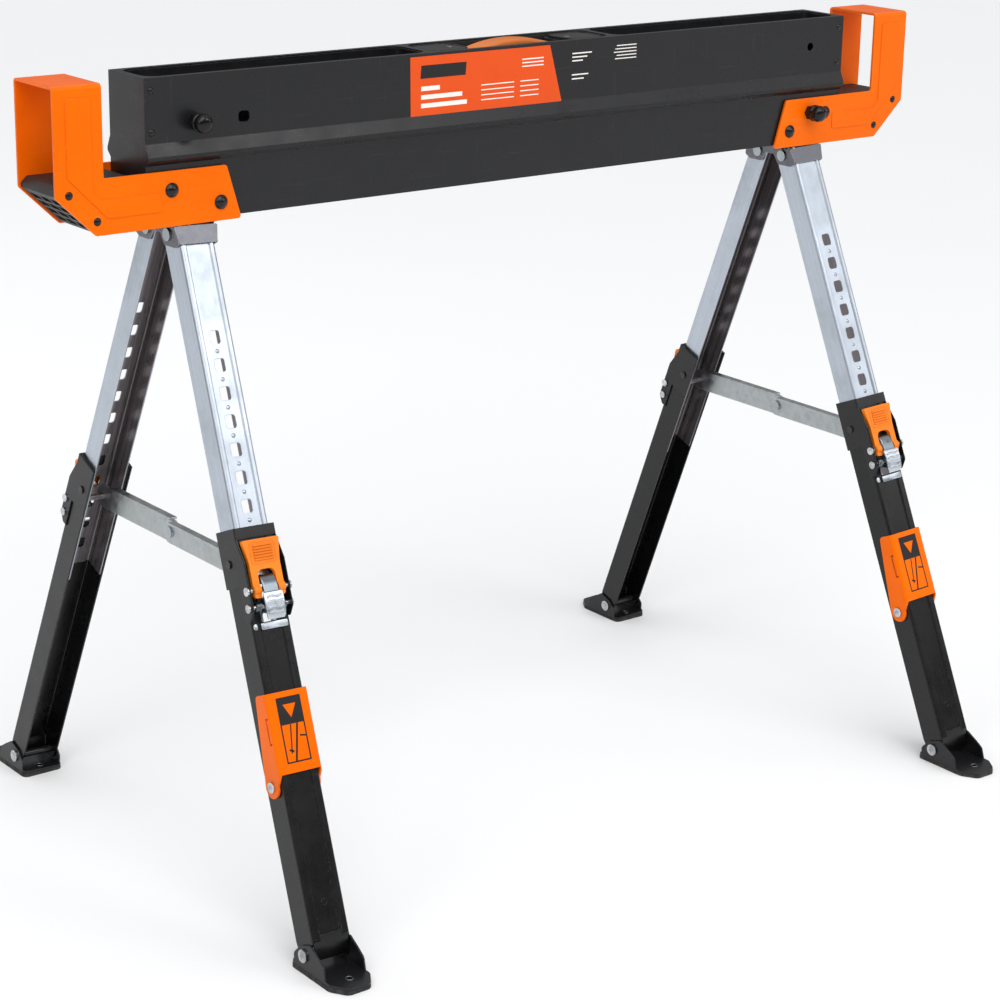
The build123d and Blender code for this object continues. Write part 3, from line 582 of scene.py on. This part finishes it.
def latch_springs(leg):
    """Coils round the pawl's pin, and the plated strip and clip under the latch."""
    place, body = PLACES[leg], f"{leg}_lower"
    turns, steps = 4, 16
    coils = bmesh.new()
    y, z = PAWL_PIN
    for side in (-1, 1):
        coil = []
        for n in range(turns * steps + 1):
            turn = 2 * pi * n / steps
            coil.append((side * (10.4 + 1.55 * n / steps), y + 3.9 * cos(turn), z + 3.9 * sin(turn)))
        wire(coils, coil, 0.68)
    add_piece(f"latch_springs_{leg}", coils, place, FINISHES["spring_steel"], body)
    strip = plate(rounded_rectangle(-2.1, -381.0, 29.4, 6.4, 1.2), 17.45, 19.4)
    prism(strip, rounded_rectangle(18.4, -380.6, 3.6, 5.6, 1.2), 17.45, 18.9)
    bmesh.ops.bevel(strip, geom=strip.edges[:], offset=0.3, segments=2, affect="EDGES", profile=0.6)
    add_piece(f"latch_strip_{leg}", strip, place, FINISHES["bright_zinc"], body)


def lever_ribs(leg):
    """Rounded cross ribs in a framed field on the release lever."""
    mesh = bmesh.new()
    for row in range(6):
        z = RIB_TOP - RIB_PITCH * row
        wire(mesh, [(x, LEVER_FACE + 0.7, z) for x in (-10.2, -9.4, 0, 9.4, 10.2)], 0.85)
    hoop(mesh, [(x, LEVER_FACE, z) for x, z in rounded_rectangle(0, -312.2, 27, 20.5, 2.5)], 0.5, 6)
    add_piece(f"lever_ribs_{leg}", mesh, PLACES[leg], FINISHES["orange_lever"], f"{leg}_lever")


# ---- pressed details of the legs, in a leg's own place ----
STRIP_FACE = 13.6  # outer face of the sunken strip that holds the notches
NOTCH_PITCH = 27.1
FIRST_PIP = -117.5
FOOT_PIN = -691.0
FOOT_HOLES = (-12.0, 42.0)


def notch_dimples(leg):
    """Small raised pips between the notches of an upper leg."""
    mesh = bmesh.new()
    for n in range(9):
        z = FIRST_PIP - NOTCH_PITCH * n
        rings = [[(0, STRIP_FACE + 0.26, z)]]
        for radius, rise in ((0.9, 0.22), (1.7, 0.12), (2.3, -0.02)):
            rings.append([(x, STRIP_FACE + rise, z + up) for x, up in circle(radius, 12)])
        loft(mesh, rings)
    add_piece(f"notch_dimples_{leg}", mesh, PLACES[leg], LEG_ZINC[leg], f"{leg}_upper")


def web_tip(leg):
    """Lower end of a leg's web, curled in round the foot pin."""
    mesh = bmesh.new()
    curl = [(17.2, 17.0), (16.4, 11.0), (14.6, 5.0), (12.3, 0.0), (10.0, -4.2), (7.2, -7.2)]
    ribbon(mesh, [(y, FOOT_PIN + rise, 19.3, 1.6) for y, rise in curl])
    add_piece(f"web_tip_{leg}", mesh, PLACES[leg], LEG_BLACK[leg], f"{leg}_lower")


def web_pip(leg):
    """Pressed ring low on a leg's web."""
    mesh = bmesh.new()
    hoop(mesh, [(x, 15.65, FOOT_PIN + 46.0 + up) for x, up in circle(3.1, 24)], 0.55)
    add_piece(f"web_pip_{leg}", mesh, PLACES[leg], LEG_BLACK[leg], f"{leg}_lower")


def foot_eyelets(leg):
    """Bright rim of each screw hole in a foot's plate."""
    outward = LEGS[leg]
    pin = Vector(JOINTS[f"{leg}_foot_swivel"]["pos_m"]) / MM
    lean = Matrix.Rotation(-outward * JOINTS[f"{leg}_foot_swivel"]["axis"][2], 3, "Y")
    mesh = bmesh.new()
    for reach in FOOT_HOLES:
        hoop(mesh, [pin + lean @ Vector((x, outward * reach + y, -11.35)) for x, y in circle(3.7, 24)], 0.5)
    add_piece(f"foot_eyelets_{leg}", mesh, WORLD, FINISHES["spring_steel"], f"{leg}_foot")


# ---- handle well and pull knobs ----
def sunk_screw(mesh, x, y, z):
    """Adds a round screw head lying flat, with a shallow pit in its middle."""
    rings = [[(x + across, y + along, z + rise) for across, along in circle(radius, 20)]
             for radius, rise in ((3.2, 0.0), (3.2, 0.5), (2.56, 0.9), (1.152, 0.95))]
    loft(mesh, rings + [[(x, y, z + 0.3)]])


def tray_bezels():
    """Flat cover with a rolled rim on each anchor block of the handle tray, and its screw."""
    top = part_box("beam_shell")[1].z / MM
    covers, rims, screws = bmesh.new(), bmesh.new(), bmesh.new()
    for side in (-1, 1):
        outline = rounded_rectangle(side * 87.5, 0, 47, 43, 12)
        loft(covers, [[(x, y, z) for x, y in outline] for z in (top - 4.6, top - 1.3)])
        hoop(rims, [(x, y, top - 1.2) for x, y in outline], 0.8)
        sunk_screw(screws, side * 76.0, 0, top - 1.4)
    add_piece("tray_covers", covers, WORLD, FINISHES["moulded_black"], "beam")
    add_piece("tray_rims", rims, WORLD, FINISHES["knob_black"], "beam")
    add_piece("tray_screws", screws, WORLD, FINISHES["spring_steel"], "beam")


def pull_knob(side):
    """Domed knob with shallow flutes and its pin, turned about the plunger's own line."""
    low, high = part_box(f"plunger_{side}")
    x, z = (low.x + high.x) / 2 / MM, (low.z + high.z) / 2 / MM
    tip, tail = low.y / MM, high.y / MM
    turned = [(3.6, 0.15), (6.4, 1.0), (8.3, 2.8), (9.2, 5.2), (9.3, 8.2), (8.2, 9.6), (8.0, 10.4),
              (9.0, 11.4), (9.2, 13.4), (8.2, 14.8), (2.95, 15.0), (2.95, tail - tip)]
    count, flutes = 48, 8
    rings = [[(x, tip, z)]]
    for radius, depth in turned:
        ring = []
        for n in range(count):
            turn = 2 * pi * n / count
            flute = 0.225 * (1 + cos(flutes * turn)) if 4 < depth < 9 else 0.0
            ring.append((x + (radius - flute) * cos(turn), tip + depth, z + (radius - flute) * sin(turn)))
        rings.append(ring)
    mesh = bmesh.new()
    loft(mesh, rings)
    piece = add_piece(f"pull_knob_{side}", mesh, WORLD, FINISHES["knob_black"], f"{side}_plunger")
    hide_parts(f"plunger_{side}")


# ---- studio ----
def add_camera():
    back = -CAMERA_LOOK.normalized()
    right = Vector((0, 0, 1)).cross(back).normalized()
    right = Matrix.Rotation(radians(CAMERA_ROLL), 3, back) @ right
    up = back.cross(right)
    data = bpy.data.cameras.new("camera")
    data.lens = LENS
    data.sensor_width = SENSOR
    data.clip_start = 0.05
    data.clip_end = 60
    camera = bpy.data.objects.new("camera", data)
    camera.matrix_world = Matrix.Translation(CAMERA_AT) @ Matrix((right, up, back)).transposed().to_4x4()
    bpy.context.scene.collection.objects.link(camera)
    bpy.context.scene.camera = camera


def add_softbox(name, at, aim, size, power):
    data = bpy.data.lights.new(name, "AREA")
    data.shape = "RECTANGLE"
    data.size, data.size_y = size
    data.energy = power
    light = bpy.data.objects.new(name, data)
    light.location = at
    light.rotation_euler = (Vector(aim) - Vector(at)).to_track_quat("-Z", "Y").to_euler()
    bpy.context.scene.collection.objects.link(light)


def add_floor():
    """A pale slab, wide enough to reach past every view, with its top at z = 0."""
    half = 25000
    mesh = plate([(-half, -half), (half, -half), (half, half), (-half, half)], 0, 40)
    data = bpy.data.meshes.new("floor")
    bmesh.ops.recalc_face_normals(mesh, faces=mesh.faces)
    mesh.to_mesh(data)
    mesh.free()
    data.transform(Matrix.Rotation(radians(-90), 4, "X") @ Matrix.Diagonal((MM, MM, MM, 1)))
    f = Finish("pale floor")
    f.set(Base_Color=f.mix(f.noise(1.5, 2), (0.86, 0.86, 0.86), (0.88, 0.88, 0.88)))
    f.set(Roughness=0.62)
    data.materials.append(f.material)
    floor = bpy.data.objects.new("floor", data)
    bpy.context.scene.collection.objects.link(floor)


def add_sun(direction, strength, spread):
    data = bpy.data.lights.new("sun", "SUN")
    data.energy = strength
    data.angle = radians(spread)
    light = bpy.data.objects.new("sun", data)
    light.rotation_euler = (-Vector(direction)).to_track_quat("-Z", "Y").to_euler()
    bpy.context.scene.collection.objects.link(light)


def add_studio():
    """A pale room, darker round the sides than overhead, a wide soft sun and four softboxes."""
    world = bpy.data.worlds.new("studio")
    world.use_nodes = True
    nodes, links = world.node_tree.nodes, world.node_tree.links
    split = nodes.new("ShaderNodeSeparateXYZ")
    links.new(nodes.new("ShaderNodeTexCoord").outputs["Generated"], split.inputs["Vector"])
    strength = nodes.new("ShaderNodeMapRange")
    strength.interpolation_type = "SMOOTHSTEP"
    for name, number in (("From Min", 0.0), ("From Max", 0.9), ("To Min", 0.12), ("To Max", 0.9)):
        strength.inputs[name].default_value = number
    links.new(split.outputs["Z"], strength.inputs["Value"])
    background = nodes["Background"]
    background.inputs["Color"].default_value = (0.97, 0.98, 1.0, 1)
    links.new(strength.outputs["Result"], background.inputs["Strength"])
    bpy.context.scene.world = world
    bpy.context.scene.view_settings.view_transform = "Standard"
    add_sun((-0.25, -0.62, 0.80), 1.55, 50)
    add_softbox("right", (1.3, -2.5, 2.2), (-0.42, -0.05, 0.6), (1.1, 1.4), 15)
    add_softbox("far right", (3.0, -2.4, 1.7), (0.4, -0.1, 0.5), (1.3, 1.3), 9)
    add_softbox("left", (-2.8, -1.2, 1.9), (0, 0, 0.6), (1.2, 1.6), 12)
    add_softbox("rim", (-1.2, 2.8, 1.6), (0, 0, 0.6), (1.8, 1.2), 10)


finish_nodes()
front_label()
tray_bezels()
for side in SIDES:
    pull_knob(side)
for leg in ("front_left", "front_right"):
    flip_label(leg)
for leg in LEGS:
    pawl_piece(leg)
    latch_springs(leg)
    lever_ribs(leg)
    web_tip(leg)
    web_pip(leg)
    foot_eyelets(leg)
    notch_dimples(leg)
add_floor()
add_studio()
add_camera()
